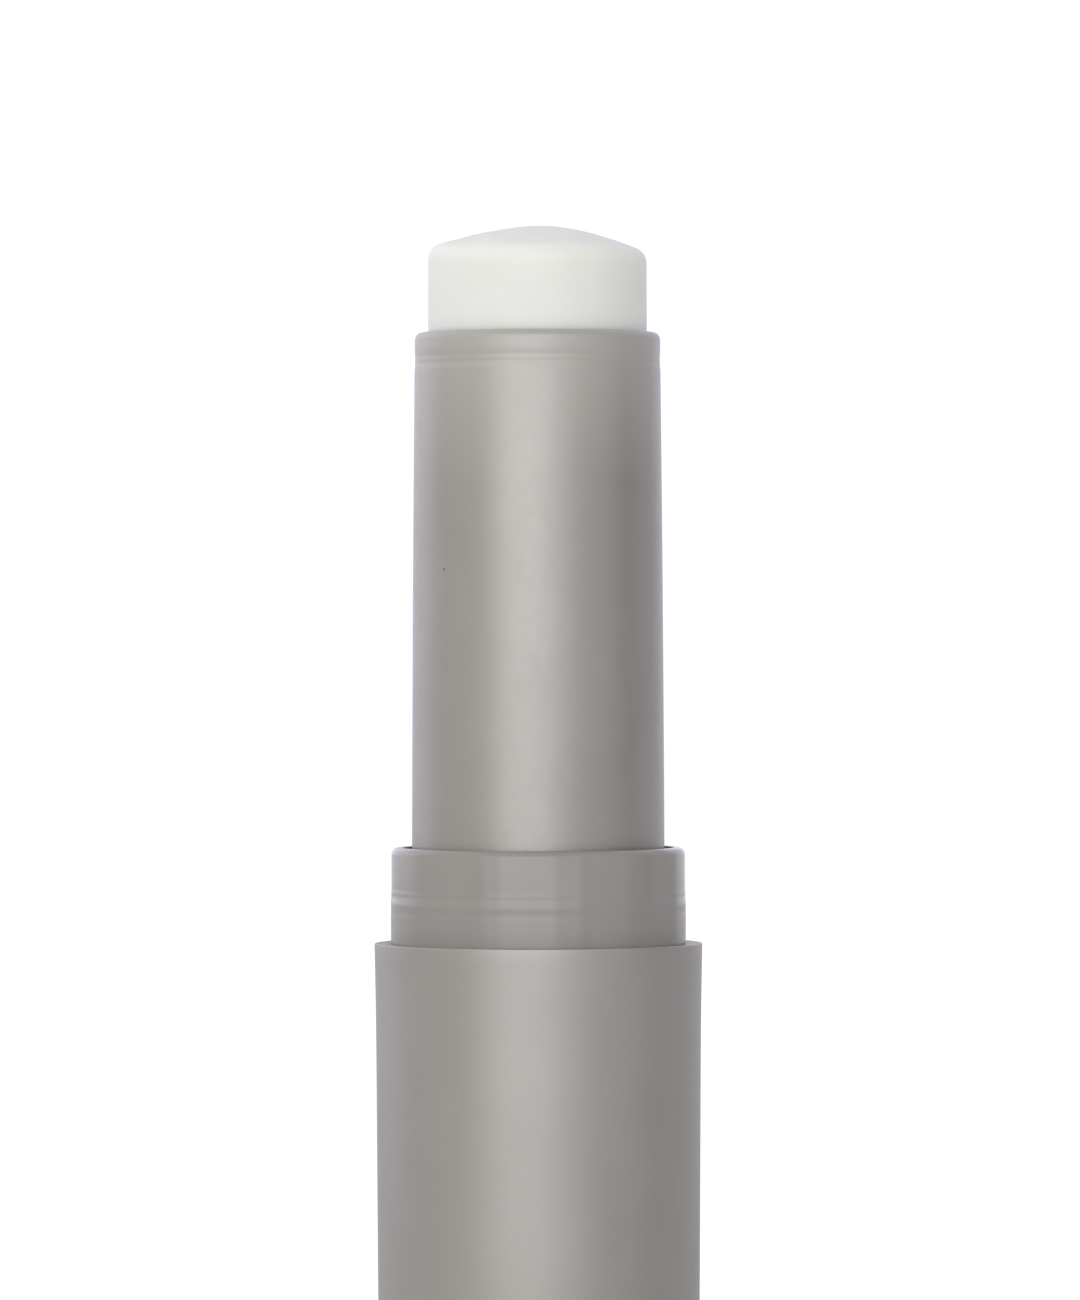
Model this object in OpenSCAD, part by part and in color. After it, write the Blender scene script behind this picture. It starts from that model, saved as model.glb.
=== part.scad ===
// Twist-up balm stick with its cap off: a slim barrel turns in a wide base, and a
// two-start feed screw on the axis lifts the cup that carries the balm.
// Millimetres, +Z up, origin at the centre of the foot.

/* [Balm] */
// Diameter of the balm, which the sizes of all the other pieces follow
balm_d = 16; // [12:0.5:24]
// How far the dome stands above the barrel's rim at rest
balm_proud = 7.85; // [2:0.05:8.2]
// How far the dome sinks below the rim when wound down
balm_sunk = 0.9; // [0.3:0.1:1.5]
// Radius of the dome
dome_r = 17.6; // [15:0.2:30]
// Radius of the edge between the dome and the side
dome_edge = 1.2; // [0.6:0.1:2]

/* [Base sleeve] */
// Height of the base sleeve, from foot to rim
base_h = 32; // [26:1:44]
// Wall of the sleeve at its rim
base_wall_t = 1.18; // [1:0.02:2.4]
// How much slimmer the sleeve is at its foot than at its rim, in radius
base_taper = 0.27; // [0.1:0.01:0.4]
// Height of the gentle flare below the rim
base_flare_h = 9; // [4:0.5:14]
// How far the flare stands out from the straight draft
base_flare = 0.08; // [0.02:0.01:0.2]
// Thickness of the sleeve's floor
base_floor_t = 1.6; // [1:0.1:2.5]
// Radius of the rounded edge round the foot
foot_round = 0.8; // [0.3:0.1:1.2]
// Depth of the recess that leaves a standing ring
foot_recess = 0.4; // [0.2:0.1:0.7]
// Width of the standing ring
foot_ring_w = 1.1; // [0.8:0.1:2.5]
// Flat width left on the lip at the sleeve's mouth
mouth_lip = 0.16; // [0.1:0.02:0.3]
// Depth of the bevel inside the mouth
mouth_bevel_h = 0.9; // [0.4:0.1:1.4]

/* [Collar] */
// Width of the open ring between the barrel and the collar
collar_gap = 0.7; // [0.6:0.05:1.2]
// Wall of the collar at the cap seat
collar_wall_t = 0.79; // [0.78:0.01:1.5]
// How far the pressed skirt stands out from the cap seat
seat_step = 0.06; // [0.02:0.01:0.1]
// How far the collar stands above the sleeve's rim
collar_h = 7; // [5:0.5:12]
// How deep the collar reaches into the sleeve
collar_skirt_h = 6; // [4:0.5:9]
// Radius of the rounded top edge
collar_round = 0.7; // [0.3:0.05:0.75]
// Height of the snap bead's centre above the sleeve's rim
bead_z = 2.7; // [2:0.05:3.4]
// Height of the snap bead, top to bottom
bead_h = 2; // [1.2:0.1:2.6]
// How far the snap bead stands out of the seat
bead_out = 0.12; // [0.05:0.01:0.25]
// Height of the lip that traps the barrel
lip_h = 1.8; // [1:0.1:2.5]
// How far the trapping lip's top lies above the sleeve's rim
lip_rise = 1; // [0:0.1:2.5]

/* [Barrel] */
// How far the barrel stands above the collar
barrel_out_h = 37.65; // [28:0.05:48]
// Wall of the barrel at its journals, down in the base
barrel_wall_t = 1.15; // [0.9:0.05:1.6]
// How much slimmer the barrel is near its rim than at its journals, in radius
barrel_draft = 0.25; // [0.1:0.01:0.3]
// How far the drafted wall bows out between those two
barrel_crown = 0.045; // [0:0.005:0.1]
// How far the bead at the rim is set back from the wall under it
rim_step = 0.02; // [0:0.01:0.06]
// Depth of the shallow groove under the rim bead
groove_t = 0.1; // [0.04:0.02:0.2]
// Height of that groove
groove_h = 1.9; // [1:0.1:3]
// Distance from the rim down to the groove's top
groove_drop = 0.95; // [0.75:0.05:2]
// Radius of the rim's outer edge
barrel_round = 0.55; // [0.2:0.05:0.6]
// Number of keys along the bore
key_count = 4; // [2:1:6]
// Width of a key
key_w = 1.2; // [0.8:0.1:2]
// Height of a key above the bore's wall
key_t = 0.45; // [0.3:0.05:0.6]
// Distance from the rim down to where the keys start
key_drop = 9.5; // [9.3:0.1:12]
// Height of the flange that traps the barrel under the lip
flange_h = 1.2; // [0.8:0.1:2]
// How far the flange stands out of the barrel
flange_out = 0.55; // [0.4:0.05:0.6]

/* [Elevator cup] */
// Height of the skirt under the cup's floor
cup_skirt_h = 7; // [5:0.5:9]
// Height of the wall above the cup's floor
cup_wall_h = 3.8; // [3:0.1:5]
// Thickness of the cup's wall and skirt
cup_wall_t = 0.9; // [0.8:0.05:1.2]
// Thickness of the cup's floor
cup_floor_t = 1.2; // [0.8:0.1:2]
// Wall round the nut
hub_wall_t = 0.9; // [0.7:0.1:1.4]
// Number of radial fins that hold the balm in the cup
fin_count = 4; // [2:1:6]
// Thickness of a fin
fin_t = 0.8; // [0.5:0.1:1.2]
// Height of a fin above the cup's floor
fin_h = 2.6; // [1:0.1:2.8]
// Height of the nut's thread
nut_h = 6; // [5:0.5:8]
// Distance left between the rim and the cup at the top of its travel
cup_stop = 1.7; // [1:0.1:3]

/* [Feed screw] */
// Rise for one full turn
lead = 6; // [5:0.5:7]
// Number of thread starts
starts = 2; // [2:1:3]
// Diameter over the thread
screw_d = 4.6; // [4.2:0.1:5]
// Diameter of the screw's core
screw_core_d = 3.4; // [3:0.1:3.6]
// Axial width of the thread at its crest
crest_w = 0.8; // [0.5:0.05:0.9]
// Axial width of the thread at its root
root_w = 1.3; // [1.1:0.05:1.4]
// Diameter of the screw's foot flange
screw_foot_d = 9; // [7:0.5:11]
// Thickness of the foot flange
screw_foot_t = 1.2; // [0.8:0.1:2]
// Diameter of the stub under the flange
stub_d = 5.2; // [4.4:0.1:6]
// How far each flat on the stub is cut back
stub_flat = 0.5; // [0.3:0.1:0.8]

/* [Base core] */
// Thickness of the core's floor
core_floor_t = 1.6; // [1.2:0.1:2.4]
// Wall of the core round the barrel
core_wall_t = 0.8; // [0.6:0.05:0.9]
// Height of the journal for the barrel's lower end
journal_h = 6; // [3:0.5:9]
// Number of grip ribs round the core
grip_count = 8; // [4:1:12]
// Width of a grip rib
grip_w = 0.9; // [0.5:0.1:1.5]
// Height of a grip rib
grip_t = 0.35; // [0.2:0.05:0.4]
// Thickness of the drag washer
washer_t = 0.8; // [0.5:0.1:1.2]

/* [Clearances] */
// Radial running clearance of the barrel in its journals
run_gap = 0.06; // [0.03:0.01:0.1]
// Radial clearance between the balm or its cup and the barrel
slide_gap = 0.1; // [0.05:0.01:0.15]
// Clearance between pieces pressed or cast together
fit_gap = 0.02; // [0.01:0.01:0.05]
// Clearance between the threads, and at the keys
thread_gap = 0.15; // [0.12:0.01:0.2]
// Axial play under the trapping lip, and at the lower stop
play = 0.3; // [0.15:0.05:0.5]
// Clearance between the balm and the screw's crest
screw_room = 0.4; // [0.2:0.05:0.6]

/* [Hidden] */
$fn = 96;

// Colours of the pieces
GREY = [0.62, 0.61, 0.60];
GLOSS_GREY = [0.58, 0.57, 0.56];
WHITE = [0.90, 0.90, 0.88];
SILICONE = [0.30, 0.31, 0.33];
BALM = [0.90, 0.90, 0.86];

// A hair of overlap where one shape is joined to or cut from another
eps = 0.05;
// Steps along a curved outline, and facets of the thread per turn
curve_steps = 8;
turn_steps = 12;

// Radii, from the balm outwards
balm_r = balm_d / 2;
bore_r = balm_r + slide_gap;
key_r = bore_r - key_t;
key_angle = 180 / key_count;
barrel_r = bore_r + barrel_wall_t;
neck_r = barrel_r - barrel_draft;
rim_r = neck_r - rim_step;
journal_r = barrel_r + run_gap;
flange_r = barrel_r + flange_out;
throat_r = flange_r + run_gap;
collar_bore_r = barrel_r + collar_gap;
cap_r = collar_bore_r + collar_wall_t;
collar_r = cap_r + seat_step;
sleeve_bore_r = collar_r + fit_gap;
base_rim_r = sleeve_bore_r + base_wall_t;
base_foot_r = base_rim_r - base_taper;
core_r = sleeve_bore_r - grip_t;
core_throat_r = core_r - core_wall_t;

// Radii, from the screw outwards
screw_r = screw_d / 2;
screw_core_r = screw_core_d / 2;
nut_bore_r = screw_r + thread_gap;
nut_crest_r = screw_core_r + thread_gap;
hub_r = nut_bore_r + hub_wall_t;
balm_bore_r = screw_r + screw_room;
cup_in_r = balm_r - cup_wall_t;

// Heights of the base
collar_top = base_h + collar_h;
collar_foot = base_h - collar_skirt_h;
lip_top = base_h + lip_rise;
lip_foot = lip_top - lip_h;
core_deck = base_floor_t + core_floor_t;
barrel_foot = core_deck + washer_t;
flange_top = lip_foot - play;

// Heights of the barrel
barrel_top = collar_top + barrel_out_h;
groove_top = barrel_top - groove_drop;
groove_foot = groove_top - groove_h;
key_top = barrel_top - key_drop;

// Travel of the cup, from the lower stop to the upper one
wind_down = balm_proud + balm_sunk;
cup_low = core_deck + screw_foot_t + play;
cup_z = cup_low + wind_down;
cup_floor_z = cup_z + cup_skirt_h;
balm_z = cup_floor_z + cup_floor_t;
cup_top = balm_z + cup_wall_h;
wind_up = barrel_top - cup_stop - cup_top;

// Heights of the balm and the screw
balm_top = barrel_top + balm_proud;
hub_top = balm_z + fin_h;
screw_top = cup_z + wind_up + nut_h + play;
balm_bore_top = screw_top + wind_down + screw_room;
balm_groove_top = key_top + wind_down + play;

// The thread's axial pitch, and where the first ridge of the screw starts
pitch = lead / starts;
thread_z = core_deck + screw_foot_t + root_w;
nut_root_w = pitch - crest_w - 2 * thread_gap;
nut_crest_w = pitch - root_w - 2 * thread_gap;

// Centre of the edge round the dome
dome_z = balm_top - dome_r;
edge_r = balm_r - dome_edge;
edge_z = dome_z + sqrt(pow(dome_r - dome_edge, 2) - pow(edge_r, 2));
edge_angle = atan2(edge_z - dome_z, edge_r);

// Points along an arc
function arc(x, y, r, a0, a1, steps = curve_steps) =
    [for (i = [0:steps])
        let (a = a0 + (a1 - a0) * i / steps) [x + r * cos(a), y + r * sin(a)]];

// Outer radius of the base sleeve: a straight draft, then a flare that grows to the rim
function sleeve_r(z) =
    let (draft = (base_rim_r - base_flare - base_foot_r) / base_h,
         rise = max(0, z - base_h + base_flare_h) / base_flare_h)
    base_foot_r + draft * z + base_flare * rise * rise;

// A smooth bump from 0 up to 1 and back, for t from 0 to 1
function bump(t) = (1 - cos(360 * t)) / 2;

// Ring between two radii
module ring(r_out, r_in, z0, z1) {
    translate([0, 0, z0]) difference() {
        cylinder(h = z1 - z0, r = r_out);
        translate([0, 0, -eps]) cylinder(h = z1 - z0 + 2 * eps, r = r_in);
    }
}

// Ribs, fins or slots evenly round the axis, from r0 out to r1
module around(count, r0, r1, w, z0, z1) {
    for (i = [0:count - 1])
        rotate([0, 0, 360 * i / count])
            translate([r0, -w / 2, z0]) cube([r1 - r0, w, z1 - z0]);
}

// Helical ridge of trapezoid section, which fades in and out at its ends.
// It grows outwards on a screw and inwards in a nut.
module thread_ridge(r_in, r_out, w_in, w_out, rise, angle, inwards = false) {
    fade_steps = 2;
    fade_start = 0.15;
    steps = round(turn_steps * rise / lead);
    depth = r_out - r_in;
    points = [for (i = [0:steps])
        let (a = angle + 360 * i * rise / steps / lead,
             z = rise * i / steps,
             full = fade_start + min(i, steps - i) / fade_steps,
             fade = depth * (1 - min(1, full)),
             r0 = inwards ? r_in + fade : r_in,
             r1 = inwards ? r_out : r_out - fade)
        each [for (p = [[r0, -w_in / 2], [r1, -w_out / 2], [r1, w_out / 2], [r0, w_in / 2]])
            [p[0] * cos(a), p[0] * sin(a), z + p[1]]]];
    sides = [for (i = [0:steps - 1], k = [0:3])
        let (a = 4 * i + k, b = 4 * i + (k + 1) % 4)
        each [[a, b + 4, a + 4], [a, b, b + 4]]];
    last = 4 * steps;
    ends = [[2, 1, 0], [3, 2, 0], [last, last + 1, last + 2], [last, last + 2, last + 3]];
    polyhedron(points, concat(sides, ends));
}

module base_sleeve() {
    flare_steps = 6;
    ring_in_r = base_foot_r - foot_round - foot_ring_w;
    outside = concat(
        arc(sleeve_r(foot_round) - foot_round, foot_round, foot_round, -90, 0),
        [for (i = [0:flare_steps])
            let (z = base_h - base_flare_h * (1 - i / flare_steps)) [sleeve_r(z), z]]);
    inside = [
        [base_rim_r - mouth_lip, base_h],
        [sleeve_bore_r, base_h - mouth_bevel_h],
        [sleeve_bore_r, base_floor_t],
        [0, base_floor_t],
        [0, foot_recess],
        [ring_in_r - foot_recess, foot_recess],
        [ring_in_r, 0]];
    color(GREY) rotate_extrude() polygon(concat(outside, inside));
}

module base_core() {
    color(WHITE) difference() {
        union() {
            translate([0, 0, base_floor_t]) cylinder(h = collar_foot - base_floor_t, r = core_r);
            around(grip_count, core_r - grip_t, sleeve_bore_r - fit_gap, grip_w,
                   base_floor_t, collar_foot);
        }
        translate([0, 0, core_deck]) cylinder(h = collar_foot, r = journal_r);
        translate([0, 0, core_deck + journal_h]) cylinder(h = collar_foot, r = core_throat_r);
        screw_stub(fit_gap, eps);
    }
}

module collar() {
    bead_steps = 10;
    bead_low = base_h + bead_z - bead_h / 2;
    outside = concat(
        [[collar_r, collar_foot], [collar_r, bead_low]],
        [for (i = [1:bead_steps - 1])
            let (t = i / bead_steps)
            [collar_r + (cap_r - collar_r) * t + bead_out * bump(t), bead_low + bead_h * t]],
        [[cap_r, bead_low + bead_h]],
        arc(cap_r - collar_round, collar_top - collar_round, collar_round, 0, 90));
    inside = [
        [collar_bore_r, collar_top],
        [collar_bore_r, lip_top],
        [journal_r, lip_top],
        [journal_r, lip_foot],
        [throat_r, lip_foot],
        [throat_r, collar_foot]];
    color(GLOSS_GREY) rotate_extrude() polygon(concat(outside, inside));
}

// The stub that keys the screw into the core: a round with two flats
module screw_stub(gap, over) {
    flat_w = stub_d - 2 * stub_flat + 2 * gap;
    intersection() {
        translate([0, 0, base_floor_t - over])
            cylinder(h = core_floor_t + 2 * over, d = stub_d + 2 * gap);
        translate([-stub_d, -flat_w / 2, 0]) cube([2 * stub_d, flat_w, 2 * core_deck]);
    }
}

module spindle() {
    tip_h = screw_core_r / 2;
    color(WHITE) union() {
        translate([0, 0, core_deck]) cylinder(h = screw_top - core_deck - tip_h, r = screw_core_r);
        translate([0, 0, screw_top - tip_h])
            cylinder(h = tip_h, r1 = screw_core_r, r2 = screw_core_r - tip_h);
        translate([0, 0, core_deck]) cylinder(h = screw_foot_t, d = screw_foot_d);
        screw_stub(0, 0);
        for (s = [0:starts - 1])
            translate([0, 0, thread_z])
                thread_ridge(screw_core_r - 3 * eps, screw_r, root_w, crest_w,
                             screw_top - tip_h - root_w - thread_z, 360 * s / starts);
    }
}

module drag_washer() {
    color(SILICONE) ring(barrel_r - fit_gap, bore_r + fit_gap, core_deck, barrel_foot);
}

// One key along the barrel's bore, with a sloping upper end
module key() {
    rotate([90, 0, 0]) translate([0, 0, -key_w / 2]) linear_extrude(key_w)
        polygon([[bore_r + eps, barrel_foot], [key_r, barrel_foot],
                 [key_r, key_top - key_t], [bore_r + eps, key_top + eps]]);
}

module barrel() {
    wall_steps = 10;
    groove_steps = 8;
    groove_lean = 1.4;
    chamfer = 0.15;
    outside = concat(
        [[barrel_r, barrel_foot],
         [barrel_r, flange_top - flange_h],
         [flange_r, flange_top - flange_h],
         [flange_r, flange_top],
         [barrel_r, flange_top]],
        // The drafted wall, bowed out a little at mid height
        [for (i = [0:wall_steps])
            let (t = i / wall_steps)
            [barrel_r + (neck_r - barrel_r) * t + 4 * barrel_crown * t * (1 - t),
             lip_top + (groove_foot - lip_top) * t]],
        // The groove, deepest in its lower half
        [for (i = [1:groove_steps - 1])
            let (t = 1 - i / groove_steps)
            [rim_r + (neck_r - rim_r) * t - groove_t * bump(pow(t, groove_lean)),
             groove_top - groove_h * t]],
        [[rim_r, groove_top]],
        arc(rim_r - barrel_round, barrel_top - barrel_round, barrel_round, 0, 90));
    inside = [
        [bore_r + chamfer, barrel_top],
        [bore_r, barrel_top - chamfer],
        [bore_r, barrel_foot]];
    color(GREY) union() {
        rotate_extrude() polygon(concat(outside, inside));
        for (i = [0:key_count - 1])
            rotate([0, 0, key_angle + 360 * i / key_count]) key();
    }
}

module elevator_cup() {
    bite = 4 * eps;
    nut_z = cup_z + nut_root_w / 2;
    nut_angle = 360 * (nut_z - thread_z - pitch / 2) / lead;
    color(WHITE) union() {
        difference() {
            union() {
                ring(balm_r, cup_in_r, cup_z, cup_top);
                translate([0, 0, cup_floor_z]) cylinder(h = cup_floor_t, r = balm_r);
                translate([0, 0, cup_z]) cylinder(h = hub_top - cup_z, r = hub_r);
                around(fin_count, nut_bore_r + eps, cup_in_r + eps, fin_t,
                       cup_z + cup_skirt_h / 2, hub_top);
            }
            translate([0, 0, cup_z - eps]) cylinder(h = hub_top - cup_z + 2 * eps, r = nut_bore_r);
            rotate([0, 0, key_angle])
                around(key_count, key_r - thread_gap, bore_r, key_w + 2 * thread_gap,
                       cup_z - eps, cup_top + eps);
        }
        for (s = [0:starts - 1])
            translate([0, 0, nut_z])
                thread_ridge(nut_crest_r, nut_bore_r + bite, nut_crest_w, nut_root_w,
                             nut_h - nut_root_w, nut_angle + 360 * s / starts, inwards = true);
    }
}

module balm() {
    dome_steps = 2 * curve_steps;
    dome_step = (90 - edge_angle) / dome_steps;
    color(BALM) difference() {
        union() {
            translate([0, 0, balm_z])
                cylinder(h = cup_top - balm_z, r = cup_in_r - fit_gap);
            rotate_extrude() polygon(concat(
                [[0, cup_top], [balm_r, cup_top]],
                arc(edge_r, edge_z, dome_edge, 0, edge_angle),
                arc(0, dome_z, dome_r, edge_angle + dome_step, 90, dome_steps - 1)));
        }
        translate([0, 0, balm_z - eps]) cylinder(h = balm_bore_top - balm_z, r = balm_bore_r);
        translate([0, 0, balm_z - eps]) cylinder(h = hub_top - balm_z + eps, r = hub_r + fit_gap);
        around(fin_count, hub_r, cup_in_r, fin_t + 2 * fit_gap, balm_z - eps, hub_top);
        rotate([0, 0, key_angle])
            around(key_count, key_r - thread_gap, bore_r, key_w + 2 * thread_gap,
                   cup_top - eps, balm_groove_top);
    }
}

base_sleeve();
base_core();
collar();
spindle();
drag_washer();
barrel();
elevator_cup();
balm();
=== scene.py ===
# The twist-up balm stick, dressed for the picture: four turned pieces over the CAD frame,
# their finishes, a pale floor and soft studio light. Outlines are in millimetres.
import math

import bmesh
import bpy
from mathutils import Matrix, Vector


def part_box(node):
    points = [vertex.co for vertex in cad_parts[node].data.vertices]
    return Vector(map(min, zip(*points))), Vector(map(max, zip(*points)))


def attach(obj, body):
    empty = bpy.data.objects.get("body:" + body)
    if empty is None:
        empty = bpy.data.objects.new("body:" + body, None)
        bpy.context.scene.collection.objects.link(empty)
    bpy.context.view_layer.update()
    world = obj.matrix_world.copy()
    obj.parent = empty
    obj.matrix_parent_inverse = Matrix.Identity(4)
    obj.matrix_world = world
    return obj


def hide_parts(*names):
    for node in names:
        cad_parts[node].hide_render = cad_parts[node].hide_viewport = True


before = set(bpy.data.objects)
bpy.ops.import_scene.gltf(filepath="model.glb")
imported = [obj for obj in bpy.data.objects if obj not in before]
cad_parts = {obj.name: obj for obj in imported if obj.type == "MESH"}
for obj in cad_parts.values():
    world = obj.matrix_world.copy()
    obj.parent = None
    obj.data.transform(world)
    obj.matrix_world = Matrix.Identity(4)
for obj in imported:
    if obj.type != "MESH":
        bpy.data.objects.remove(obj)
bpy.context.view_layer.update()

# Metres in a millimetre, facets round the axis, and the degrees at which an edge is sharp
MM = 0.001
SIDES = 360
SHARP = 32

# Sizes that the frame gives
rim_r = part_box("base_sleeve")[1].x / MM
sleeve_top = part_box("base_sleeve")[1].z / MM
collar_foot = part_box("collar")[0].z / MM
collar_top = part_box("collar")[1].z / MM
flange_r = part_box("barrel")[1].x / MM
barrel_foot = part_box("barrel")[0].z / MM
barrel_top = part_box("barrel")[1].z / MM
balm_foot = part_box("balm")[0].z / MM
balm_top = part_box("balm")[1].z / MM
balm_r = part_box("balm")[1].x / MM
cup_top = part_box("elevator_cup")[1].z / MM

# Base sleeve
FOOT_R = 11.73
FLARE_H = 9
FLARE = 0.08
FLOOR_T = 1.6
FOOT_ROUND = 0.8
FOOT_RECESS = 0.4
FOOT_RING = 1.1
SLEEVE_BORE = 10.82
MOUTH_LIP = 0.16
MOUTH_BEVEL = 0.9
MOUTH_ROUND = 0.07
FOOT_STEPS = 10
MOUTH_FROM = 15
MOUTH_STEPS = 5
SLEEVE_STEPS = 30

# Collar: its seat for the cap, the snap bead's two ridges, and the lip that traps the barrel
SEAT_R = 10.8
CAP_R = 10.74
COLLAR_BORE = 9.95
COLLAR_ROUND = 0.5
ROUND_TO = 84
BORE_EDGE = 0.04
BEAD_Z = 3
BEAD_H = 2
BEAD_OUT = 0.018
BEAD_LEAN = 1.5
THIN_OUT = 0.004
RIDGE_SPLIT = 0.73
BEAD_STEPS = 40
TRAP_TOP = 1
TRAP_H = 1.8
JOURNAL_R = 9.31
THROAT_R = 9.86

# Barrel: its wall, the groove under the rim bead, its flange and its four keys
BARREL_R = 9.25
NECK_R = 9
BEAD_R = 8.98
CROWN = 0.045
GROOVE_T = 0.06
GROOVE_H = 1.9
GROOVE_DROP = 0.95
GROOVE_LEAN = 1.4
HAIR_AT = 0.59
HAIR_W = 0.32
HAIR_OUT = 0.025
BARREL_ROUND = 0.55
BARREL_BORE = 8.1
BORE_CHAMFER = 0.15
FLANGE_H = 1.2
FLANGE_PLAY = 0.3
KEY_R = 7.65
KEY_HALF = 4
KEY_DROP = 9.5
KEY_SLOPE = 0.45
WALL_STEPS = 32
GROOVE_STEPS = 44
ROUND_STEPS = 12

# Balm: its dome, its bore, and the four slots that the keys run in
DOME_R = 17.6
DOME_EDGE = 1.2
BALM_BORE = 2.7
BALM_BORE_TOP = 78.35
HUB_R = 3.37
HUB_TOP = 24.25
PLUG_R = 7.08
SLOT_R = 7.5
SLOT_HALF = 5
SLOT_TOP = 76.2
SLOT_END = 0.05
SLOT_CLEAR = 0.3
SIDE_STEPS = 40
EDGE_STEPS = 14
DOME_STEPS = 40

# How the cast dome differs from a true sphere
SHOULDER_Z = 80.6
SHOULDER_H = 1.2
LEFT_FULL = 0.25
LEFT_FROM = 5.2
LEFT_OVER = 2.9
SLACK = 0.1
SLACK_TILT = 0.006
WAVE = 0.04
WAVE_LENGTH = 8
WAVE_LEAN = 0.5
WAVE_AT = 0.9
MARK_AT = (-0.35, -4.4)
MARK_R = 3.1
MARK_HALF = 0.5
MARK_OUT = 0.045


def along(start, end, count):
    """Evenly spaced numbers from start to end, count steps apart."""
    return [start + (end - start) * i / count for i in range(count + 1)]


def arc(x, z, r, start, end, count):
    """Points along an arc, with the angles in degrees."""
    turns = [math.radians(a) for a in along(start, end, count)]
    return [(x + r * math.cos(a), z + r * math.sin(a)) for a in turns]


def bump(t):
    """A smooth rise from 0 to 1 and back, for t from 0 to 1."""
    return (1 - math.cos(2 * math.pi * t)) / 2


def ease(t):
    """A smooth step from 0 to 1."""
    t = min(1, max(0, t))
    return t * t * (3 - 2 * t)


def lathe(outline, carve, half):
    """A closed skin turned from an outline of (radius, height).

    carve(r, z, off) gives the radius on the four keys or slots, off degrees from their middle,
    half being half their width."""
    skin = bmesh.new()
    rings = []
    for r, z in outline:
        ring = []
        for step in range(SIDES if r else 1):
            angle = 360 * step / SIDES
            off = abs(angle % 90 - 45)
            radius = carve(r, z, off) if carve and off <= half else r
            turn = math.radians(angle)
            ring.append(skin.verts.new(
                (radius * math.cos(turn) * MM, radius * math.sin(turn) * MM, z * MM)))
        rings.append(ring)
    for low, high in zip(rings, rings[1:] + rings[:1]):
        for i in range(SIDES):
            j = (i + 1) % SIDES
            corners = [low[i % len(low)], low[j % len(low)], high[j % len(high)], high[i % len(high)]]
            # A ring on the axis is one point, which comes twice
            corners = list(dict.fromkeys(corners))
            if len(corners) > 2:
                skin.faces.new(corners)
    return skin


def turned(name, outline, body, node, material, carve=None, half=0, wear=None):
    """A turned piece that rides on a body and replaces a node. wear(point) moves a finished point."""
    skin = lathe(outline, carve, half)
    if wear:
        for vert in skin.verts:
            vert.co = wear(vert.co.copy())
    bmesh.ops.recalc_face_normals(skin, faces=skin.faces)
    data = bpy.data.meshes.new(name)
    skin.to_mesh(data)
    skin.free()
    data.materials.append(material)
    data.shade_smooth()
    data.set_sharp_from_angle(angle=math.radians(SHARP))
    piece = bpy.data.objects.new(name, data)
    bpy.context.scene.collection.objects.link(piece)
    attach(piece, body)
    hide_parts(node)


# Shader nodes. Each function adds to a node tree, and those that work something out give its socket
NOISE_MIDDLE = (0.3, 0.7)


def feed(tree, socket, value):
    """Links a socket to another one, or sets it to a number or a colour."""
    if isinstance(value, bpy.types.NodeSocket):
        tree.links.new(value, socket)
    elif socket.type == "RGBA":
        socket.default_value = (*value, 1)
    else:
        socket.default_value = value


def coordinates(tree, kind):
    """The point that is shaded: Object for a piece's own space, Generated for the way into the world."""
    return tree.nodes.new("ShaderNodeTexCoord").outputs[kind]


def camera_ray(tree):
    """1 for what the camera sees itself, 0 for what lights or is mirrored."""
    return tree.nodes.new("ShaderNodeLightPath").outputs["Is Camera Ray"]


def maths(tree, operation, first, second):
    """A sum or product of numbers or sockets."""
    node = tree.nodes.new("ShaderNodeMath")
    node.operation = operation
    feed(tree, node.inputs[0], first)
    feed(tree, node.inputs[1], second)
    return node.outputs["Value"]


def measured(tree, operation, vector, constant):
    """The DISTANCE between a vector and a constant one, or their DOT_PRODUCT."""
    node = tree.nodes.new("ShaderNodeVectorMath")
    node.operation = operation
    feed(tree, node.inputs[0], vector)
    feed(tree, node.inputs[1], constant)
    return node.outputs["Value"]


def ranged(tree, value, start, end, low=0, high=1, form="LINEAR"):
    """Maps start to end onto low to high, and holds it there."""
    node = tree.nodes.new("ShaderNodeMapRange")
    node.interpolation_type = form
    limits = {"Value": value, "From Min": start, "From Max": end, "To Min": low, "To Max": high}
    for name, limit in limits.items():
        feed(tree, node.inputs[name], limit)
    return node.outputs["Result"]


def mixed(tree, share, first, second, kind="RGBA"):
    """Two colours mixed by a share, or two numbers with the kind FLOAT."""
    node = tree.nodes.new("ShaderNodeMix")
    node.data_type = kind
    for name, value in {"Factor": share, "A": first, "B": second}.items():
        feed(tree, node.inputs[name], value)
    return node.outputs["Result"]


def grain(tree, scale, detail=3.0):
    """Noise in the object's own space, scale being its cells per metre."""
    cells = tree.nodes.new("ShaderNodeTexNoise")
    cells.inputs["Scale"].default_value = scale
    cells.inputs["Detail"].default_value = detail
    tree.links.new(coordinates(tree, "Object"), cells.inputs["Vector"])
    return cells.outputs["Fac"]


def cloud(tree, scale, low=0, high=1):
    """Noise, most of whose values are near its middle, spread from low to high."""
    return ranged(tree, grain(tree, scale), *NOISE_MIDDLE, low, high)


def relief(tree, shader, layers):
    """Chained bumps, each given as (height, depth in metres, strength)."""
    normal = None
    for height, depth, strength in layers:
        step = tree.nodes.new("ShaderNodeBump")
        step.inputs["Distance"].default_value = depth
        step.inputs["Strength"].default_value = strength
        tree.links.new(height, step.inputs["Height"])
        if normal:
            tree.links.new(normal, step.inputs["Normal"])
        normal = step.outputs["Normal"]
    tree.links.new(normal, shader.inputs["Normal"])


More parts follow.
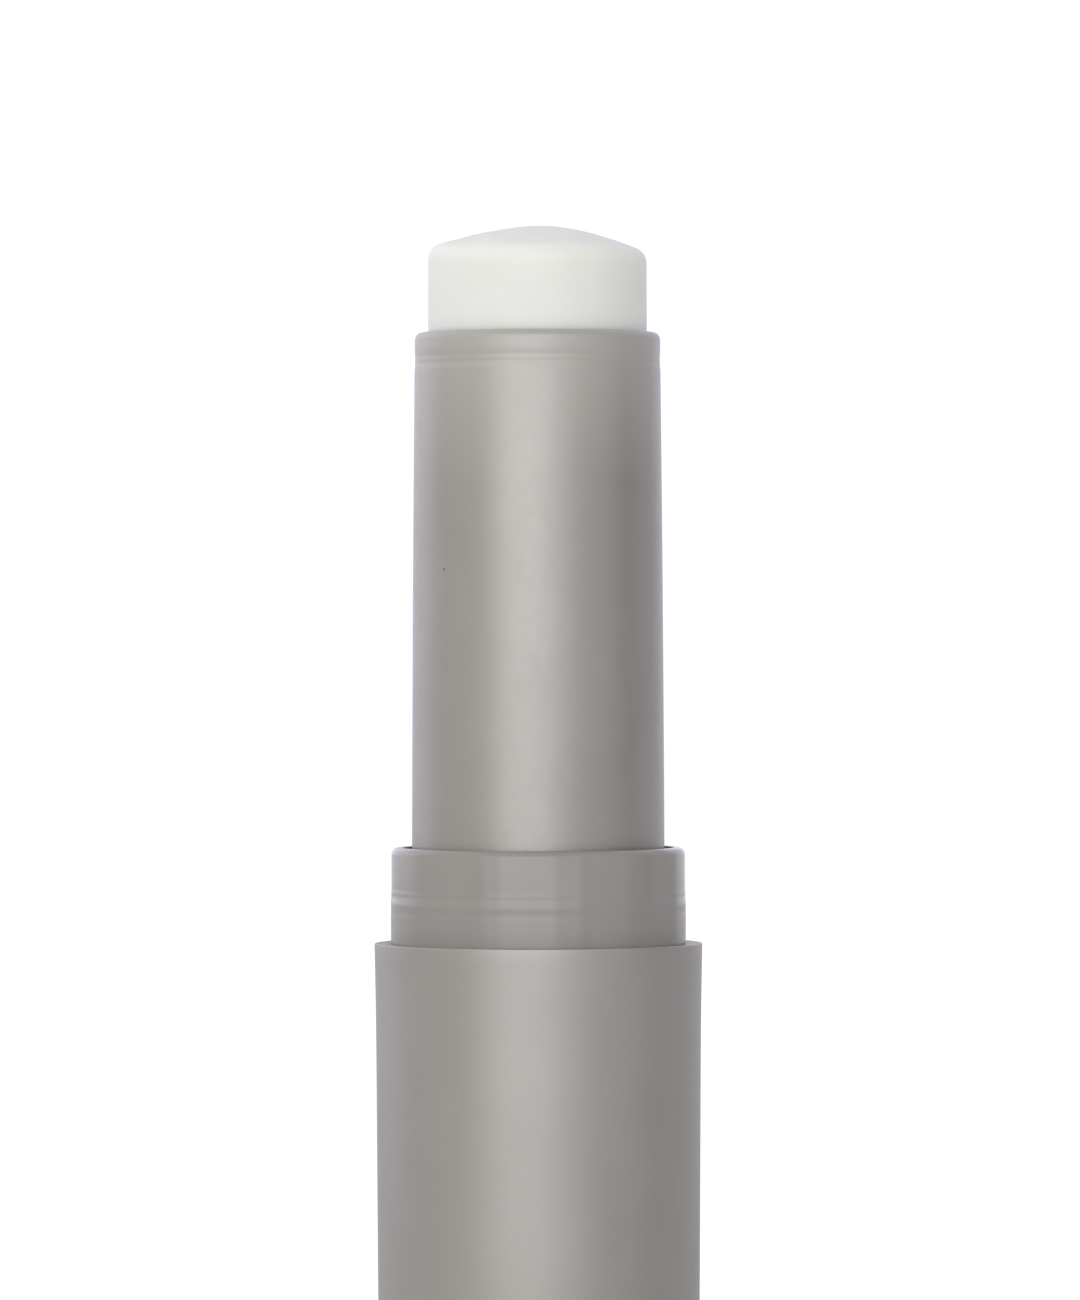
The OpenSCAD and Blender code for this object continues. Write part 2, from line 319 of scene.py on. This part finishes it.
# Finishes. Scales of noise are in cells per metre, depths in metres
MOTTLE = 0.03
MOTTLE_SCALE = 140
GLOSS_VARIES = 0.06
GLOSS_COARSER = 8
GRAIN_STRENGTH = 0.25
PEEL_COARSER = 6
PEEL_DEEPER = 3
PEEL_STRENGTH = 0.15
SPECK = {"at": (-6.8, -6.1, 59.3), "r": 0.16, "colour": (0.12, 0.11, 0.10)}
# A paler band at the top of the barrel: painted light, standing in for light from the balm glowing
# through its thin wall
RIM_BAND = 11
RIM_GLOW = {"low": barrel_top - RIM_BAND, "high": barrel_top, "colour": (0.44, 0.428, 0.4), "metal": 0.2}
WAX_TONES = (0.985, 1.01)
WAX_SCALE = 260
WAX_ROUGH = (0.46, 0.54)
WAX_ROUGH_SCALE = 500
WAX_DEPTH = 0.0015
WAX_RADIUS = (1, 0.95, 0.8)
HOLLOWS_SCALE = 400
HOLLOWS_DEPTH = 0.00003
BLOOM_SCALE = 4000
BLOOM_DEPTH = 0.000004
FLOOR_TONES = (0.70, 0.72)
FLOOR_SCALE = 30
FLOOR_ROUGH = 0.9
FLOOR_LIFT = 0.52
FLOOR_REACH = 3


def graph(name):
    """A new material with its node tree and shader."""
    material = bpy.data.materials.new(name)
    material.use_nodes = True
    return material, material.node_tree, material.node_tree.nodes["Principled BSDF"]


def shaded(colour, factor):
    """A colour made lighter or darker."""
    return tuple(min(1, c * factor) for c in colour)


def specked(tree, paint, at, r, colour):
    """Paint with one dark grain in it."""
    away = measured(tree, "DISTANCE", coordinates(tree, "Object"), [c * MM for c in at])
    return mixed(tree, ranged(tree, away, r * MM, 0), paint, colour)


def by_height(tree, low, high, bottom=0, top=1):
    """A value that goes from bottom to top between the heights low and high, in millimetres."""
    split = tree.nodes.new("ShaderNodeSeparateXYZ")
    tree.links.new(coordinates(tree, "Object"), split.inputs["Vector"])
    return ranged(tree, split.outputs["Z"], low * MM, high * MM, bottom, top)


def plastic(name, colour, rough, fine, metal=0.0, depth=0.000004, speck=None, rim=None):
    """Moulded or sprayed plastic: faint mottling, uneven gloss and a fine grain.

    speck is one dark grain in the paint, rim a paler and less metallic band at the top, which is painted
    light standing in for light from the balm glowing through the thin wall."""
    material, tree, shader = graph(name)
    paint = mixed(tree, cloud(tree, MOTTLE_SCALE),
                  shaded(colour, 1 - MOTTLE), shaded(colour, 1 + MOTTLE))
    shader.inputs["Metallic"].default_value = metal
    if speck:
        paint = specked(tree, paint, **speck)
    # rim paints light: a paler band standing in for light from the balm glowing through the thin wall
    if rim:
        low, high = rim["low"], rim["high"]
        paint = mixed(tree, by_height(tree, low, high), paint, rim["colour"])
        tree.links.new(by_height(tree, low, high, metal, rim["metal"]), shader.inputs["Metallic"])
    gloss = cloud(tree, fine / GLOSS_COARSER,
                  rough * (1 - GLOSS_VARIES), rough * (1 + GLOSS_VARIES))
    tree.links.new(paint, shader.inputs["Base Color"])
    tree.links.new(gloss, shader.inputs["Roughness"])
    relief(tree, shader, [
        (grain(tree, fine), depth, GRAIN_STRENGTH),
        (grain(tree, fine / PEEL_COARSER, 1.0), PEEL_DEEPER * depth, PEEL_STRENGTH)])
    return material


def wax(name, colour):
    """Cast balm: light sinks in, and the surface has soft hollows and a fine bloom."""
    material, tree, shader = graph(name)
    dark, light = (shaded(colour, tone) for tone in WAX_TONES)
    paint = mixed(tree, cloud(tree, WAX_SCALE), dark, light)
    tree.links.new(paint, shader.inputs["Base Color"])
    tree.links.new(cloud(tree, WAX_ROUGH_SCALE, *WAX_ROUGH), shader.inputs["Roughness"])
    shader.inputs["Subsurface Weight"].default_value = 1
    shader.inputs["Subsurface Radius"].default_value = WAX_RADIUS
    shader.inputs["Subsurface Scale"].default_value = WAX_DEPTH
    relief(tree, shader, [
        (grain(tree, HOLLOWS_SCALE, 2.0), HOLLOWS_DEPTH, 0.3),
        (grain(tree, BLOOM_SCALE), BLOOM_DEPTH, 0.2)])
    return material


def pale(name):
    """Matt white, which the camera alone sees brighter, so that it runs into the white round it."""
    material, tree, shader = graph(name)
    dark, light = ((tone, tone, tone) for tone in FLOOR_TONES)
    tree.links.new(mixed(tree, cloud(tree, FLOOR_SCALE), dark, light), shader.inputs["Base Color"])
    shader.inputs["Roughness"].default_value = FLOOR_ROUGH
    shader.inputs["Specular IOR Level"].default_value = 0
    shader.inputs["Emission Color"].default_value = (1, 1, 1, 1)
    lift = maths(tree, "MULTIPLY", camera_ray(tree), FLOOR_LIFT)
    tree.links.new(lift, shader.inputs["Emission Strength"])
    return material


satin_barrel = plastic("satin_barrel", (0.363, 0.353, 0.329), 0.38, 9000, metal=0.62,
                       speck=SPECK, rim=RIM_GLOW)
satin_sleeve = plastic("satin_sleeve", (0.384, 0.374, 0.348), 0.38, 9000, metal=0.65)
gloss_grey = plastic("gloss_grey", (0.292, 0.284, 0.263), 0.14, 7000, depth=0.000001)
moulded_white = plastic("moulded_white", (0.72, 0.72, 0.70), 0.42, 5000)
soft_grey = plastic("soft_grey", (0.10, 0.105, 0.11), 0.7, 4000, depth=0.00001)
balm_wax = wax("balm_wax", (0.828, 0.835, 0.797))

for node, finish in (("base_core", moulded_white), ("spindle", moulded_white),
                     ("elevator_cup", moulded_white), ("drag_washer", soft_grey)):
    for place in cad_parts[node].material_slots:
        place.material = finish


# Base sleeve
def sleeve_r(z):
    """Radius of the sleeve: a straight draft, then a flare that grows to the rim."""
    rise = max(0, z - sleeve_top + FLARE_H) / FLARE_H
    return FOOT_R + (rim_r - FLARE - FOOT_R) * z / sleeve_top + FLARE * rise * rise


def sleeve_outline():
    """The sleeve with its rounded foot, its bevelled mouth and the ring that it stands on."""
    ring_in = FOOT_R - FOOT_ROUND - FOOT_RING
    return [
        *arc(sleeve_r(FOOT_ROUND) - FOOT_ROUND, FOOT_ROUND, FOOT_ROUND, -90, 0, FOOT_STEPS),
        *[(sleeve_r(z), z) for z in along(FOOT_ROUND, sleeve_top - MOUTH_ROUND, SLEEVE_STEPS)[1:]],
        *arc(rim_r - MOUTH_ROUND, sleeve_top - MOUTH_ROUND, MOUTH_ROUND,
             MOUTH_FROM, 90, MOUTH_STEPS),
        (rim_r - MOUTH_LIP, sleeve_top),
        (SLEEVE_BORE, sleeve_top - MOUTH_BEVEL),
        (SLEEVE_BORE, FLOOR_T),
        (0, FLOOR_T),
        (0, FOOT_RECESS),
        (ring_in - FOOT_RECESS, FOOT_RECESS),
        (ring_in, 0)]


# Collar
def bead_out(t):
    """How far the snap bead stands out: one low ridge and a thin one above it."""
    if t < RIDGE_SPLIT:
        return BEAD_OUT * bump((t / RIDGE_SPLIT) ** BEAD_LEAN)
    return THIN_OUT * bump((t - RIDGE_SPLIT) / (1 - RIDGE_SPLIT))


def collar_outline():
    """The collar with its bead, its rounded top and, inside, the lip that traps the flange."""
    bead_foot = sleeve_top + BEAD_Z - BEAD_H / 2
    trap_top = sleeve_top + TRAP_TOP
    return [
        (SEAT_R, collar_foot),
        *[(SEAT_R + (CAP_R - SEAT_R) * t + bead_out(t), bead_foot + BEAD_H * t)
          for t in along(0, 1, BEAD_STEPS)],
        *arc(CAP_R - COLLAR_ROUND, collar_top - COLLAR_ROUND, COLLAR_ROUND, 0, ROUND_TO, ROUND_STEPS),
        (COLLAR_BORE + BORE_EDGE, collar_top),
        (COLLAR_BORE, collar_top - BORE_EDGE),
        (COLLAR_BORE, trap_top),
        (JOURNAL_R, trap_top),
        (JOURNAL_R, trap_top - TRAP_H),
        (THROAT_R, trap_top - TRAP_H),
        (THROAT_R, collar_foot)]


# Barrel
def groove_in(t):
    """Depth of the groove under the rim bead, with a hair-thin ridge in it."""
    across = (t - HAIR_AT) / HAIR_W + 0.5
    hair = HAIR_OUT * bump(across) if 0 < across < 1 else 0
    return GROOVE_T * bump(t ** GROOVE_LEAN) - hair


def barrel_outline():
    """The barrel: its flange, its slightly crowned wall, its groove and its rim bead."""
    trap_top = sleeve_top + TRAP_TOP
    flange_top = trap_top - TRAP_H - FLANGE_PLAY
    groove_top = barrel_top - GROOVE_DROP
    groove_foot = groove_top - GROOVE_H
    key_top = barrel_top - KEY_DROP
    return [
        (BARREL_R, barrel_foot),
        (BARREL_R, flange_top - FLANGE_H),
        (flange_r, flange_top - FLANGE_H),
        (flange_r, flange_top),
        (BARREL_R, flange_top),
        *[(BARREL_R + (NECK_R - BARREL_R) * t + 4 * CROWN * t * (1 - t),
           trap_top + (groove_foot - trap_top) * t) for t in along(0, 1, WALL_STEPS)],
        *[(BEAD_R + (NECK_R - BEAD_R) * t - groove_in(t), groove_top - GROOVE_H * t)
          for t in along(1, 0, GROOVE_STEPS)[1:]],
        *arc(BEAD_R - BARREL_ROUND, barrel_top - BARREL_ROUND, BARREL_ROUND, 0, 90, ROUND_STEPS),
        (BARREL_BORE + BORE_CHAMFER, barrel_top),
        (BARREL_BORE, barrel_top - BORE_CHAMFER),
        (BARREL_BORE, key_top),
        (BARREL_BORE, key_top - KEY_SLOPE),
        (BARREL_BORE, barrel_foot)]


def on_key(r, z, off):
    """Radius of the bore's wall on a key."""
    if r > BARREL_BORE or z > barrel_top - KEY_DROP - KEY_SLOPE / 2:
        return r
    return KEY_R / math.cos(math.radians(off))


# Balm
def balm_outline():
    """The balm: its plug in the cup, its side, its domed top and its bore for the screw."""
    edge_r = balm_r - DOME_EDGE
    dome_z = balm_top - DOME_R
    edge_z = dome_z + math.sqrt((DOME_R - DOME_EDGE) ** 2 - edge_r ** 2)
    turn = math.degrees(math.atan2(edge_z - dome_z, edge_r))
    side = [z for z in along(cup_top, edge_z, SIDE_STEPS) if abs(z - SLOT_TOP) > SLOT_CLEAR]
    side = sorted([*side, SLOT_TOP, SLOT_TOP + SLOT_END])
    return [
        (PLUG_R, balm_foot),
        (PLUG_R, cup_top),
        *[(balm_r, z) for z in side],
        *arc(edge_r, edge_z, DOME_EDGE, 0, turn, EDGE_STEPS)[1:],
        *arc(0, dome_z, DOME_R, turn, 90, DOME_STEPS)[1:-1],
        (0, balm_top),
        (0, BALM_BORE_TOP),
        (BALM_BORE, BALM_BORE_TOP),
        (BALM_BORE, HUB_TOP),
        (HUB_R, HUB_TOP),
        (HUB_R, balm_foot)]


def in_slot(r, z, off):
    """Radius of the balm in a slot that a key runs in."""
    if r < balm_r or not cup_top <= z <= SLOT_TOP:
        return r
    return SLOT_R / math.cos(math.radians(off))


def settle(point):
    """The cast dome is no true sphere: full at its left shoulder, uneven on top, with a round mark."""
    x, y, z = (c / MM for c in point)
    high = ease((z - SHOULDER_Z) / SHOULDER_H)
    if high == 0:
        return point
    full = LEFT_FULL * ease((-x - LEFT_FROM) / LEFT_OVER)
    wave = math.cos(2 * math.pi * (x + WAVE_LEAN * y - WAVE_AT) / WAVE_LENGTH)
    slack = SLACK - WAVE * wave + SLACK_TILT * x
    off = abs(math.dist((x, y), MARK_AT) - MARK_R)
    mark = MARK_OUT * ease(1 - off / MARK_HALF)
    return Vector((point.x, point.y, point.z + (full - slack + mark) * high * MM))


turned("sleeve_shell", sleeve_outline(), "base", "base_sleeve", satin_sleeve)
turned("collar_ring", collar_outline(), "base", "collar", gloss_grey)
turned("barrel_tube", barrel_outline(), "barrel", "barrel", satin_barrel,
       carve=on_key, half=KEY_HALF)
turned("balm_cast", balm_outline(), "elevator", "balm", balm_wax,
       carve=in_slot, half=SLOT_HALF, wear=settle)


# Floor
def floor():
    """A wide pale floor under the stick."""
    reach = FLOOR_REACH
    corners = [(-reach, -reach, 0), (reach, -reach, 0), (reach, reach, 0), (-reach, reach, 0)]
    data = bpy.data.meshes.new("floor")
    data.from_pydata(corners, [], [(0, 1, 2, 3)])
    data.materials.append(pale("pale_floor"))
    piece = bpy.data.objects.new("floor", data)
    bpy.context.scene.collection.objects.link(piece)


# Light. Azimuths are in degrees from the camera, positive to its right
AIM = Vector((0, 0, 0.05))
AWAY = 0.9
WHITE = (1, 1, 1)
WARM = (1.02, 1, 0.96)
COOL = (0.985, 1, 1.04)
LAVENDER = (0.975, 0.95, 1.11)
BACKDROP_TO = (0.078, 0.997, 0)
BACKDROP_EDGE = 0.27
BACKDROP_BLUR = 0.02
SEEN_WORLD = 1.1


def softbox(name, azimuth, height, wide, tall, radiance, colour=WHITE):
    """A panel that faces the stick from one side."""
    lamp = bpy.data.lights.new(name, "AREA")
    lamp.shape = "RECTANGLE"
    lamp.size = wide
    lamp.size_y = tall
    lamp.energy = radiance * math.pi * wide * tall
    lamp.color = colour
    panel = bpy.data.objects.new(name, lamp)
    turn = math.radians(azimuth)
    panel.location = (AWAY * math.sin(turn), -AWAY * math.cos(turn), height)
    panel.rotation_euler = (panel.location - AIM).to_track_quat("Z", "Y").to_euler()
    panel.visible_camera = False
    bpy.context.scene.collection.objects.link(panel)


def studio(level, to_left, to_front, backdrop):
    """Dim soft light all round and a paler, sharp-edged backdrop behind, all white to the camera.

    The light grows by to_left to the left and by to_front to the front."""
    world = bpy.data.worlds.new("studio")
    bpy.context.scene.world = world
    world.use_nodes = True
    tree = world.node_tree
    sky = tree.nodes["Background"]
    way = coordinates(tree, "Generated")
    around = maths(tree, "ADD", measured(tree, "DOT_PRODUCT", way, (-to_left, -to_front, 0)), level)
    screen = ranged(tree, measured(tree, "DOT_PRODUCT", way, BACKDROP_TO),
                    BACKDROP_EDGE - BACKDROP_BLUR, BACKDROP_EDGE + BACKDROP_BLUR, form="SMOOTHSTEP")
    light = maths(tree, "ADD", around, maths(tree, "MULTIPLY", screen, backdrop))
    strength = mixed(tree, camera_ray(tree), light, SEEN_WORLD, "FLOAT")
    tree.links.new(mixed(tree, screen, WARM, LAVENDER), sky.inputs["Color"])
    tree.links.new(strength, sky.inputs["Strength"])


floor()
studio(level=0.58, to_left=0.34, to_front=0.24, backdrop=0.44)
softbox("key", -9, 0.15, 0.72, 0.3, 1.13, COOL)
softbox("scrim", -5, 0.25, 1.5, 0.5, 0.95, COOL)
softbox("right_fill", 58, 0.25, 0.6, 0.5, 0.34)
softbox("left_rear", -145, 0.25, 1.0, 0.5, 0.32, LAVENDER)
softbox("right_rear", 158, 0.25, 0.7, 0.5, 0.4, LAVENDER)

# Camera. Its place is in metres, angles in degrees, the sensor in millimetres, and its focal length
# and the photo's height in pixels of the photo
DISTANCE = 0.6
EYE = (0.00015, 0.0557)
PITCH = 0.2166
ROLL = -0.09
CLIP_START = 0.05
SENSOR = 36
PHOTO_HEIGHT = 1300
FOCAL_PIXELS = 8200

camera = bpy.data.objects.new("camera", bpy.data.cameras.new("camera"))
camera.data.sensor_width = SENSOR
camera.data.lens = SENSOR * FOCAL_PIXELS / PHOTO_HEIGHT
camera.data.clip_start = CLIP_START
camera.matrix_world = (Matrix.Translation((EYE[0], -DISTANCE, EYE[1]))
                       @ Matrix.Rotation(math.radians(90 - PITCH), 4, "X")
                       @ Matrix.Rotation(math.radians(ROLL), 4, "Z"))
bpy.context.scene.collection.objects.link(camera)
bpy.context.scene.camera = camera
bpy.context.scene.view_settings.view_transform = "Standard"
